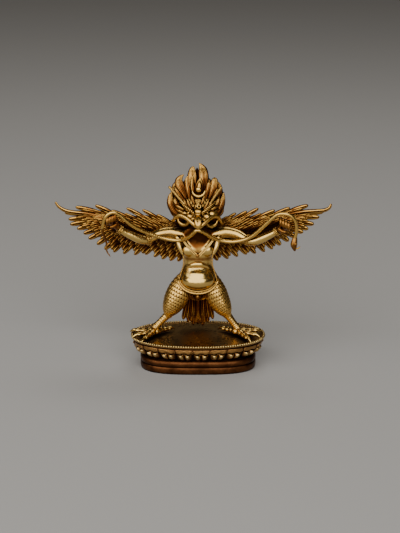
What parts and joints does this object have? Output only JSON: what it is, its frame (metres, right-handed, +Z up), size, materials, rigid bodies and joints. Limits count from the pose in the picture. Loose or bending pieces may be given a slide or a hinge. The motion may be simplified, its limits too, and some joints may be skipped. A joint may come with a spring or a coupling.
{
  "type": "garuda figure",
  "caption": "Small gilt copper garuda with spread wings, holding a snake in both hands and its beak, standing on an oval lotus plinth.",
  "frame": {"origin": "centre of the plinth's flat underside", "axes": "+Z up, -Y the way the figure faces, +X along the wings to the figure's left hand, which is on the right as seen from the front"},
  "size_m": [0.1242, 0.0368, 0.0949],
  "materials": {
    "gilt_figure": "fire-gilt cast copper, polished on the belly and arms, red-brown in the chased recesses",
    "gilt_plinth": "fire-gilt cast copper, browner, worn pinkish on the lower moulding, dark between the petals"
  },
  "bodies": {
    "root": {"garuda_figure": "gilt_figure", "lotus_plinth": "gilt_plinth"}
  },
  "joints": []
}
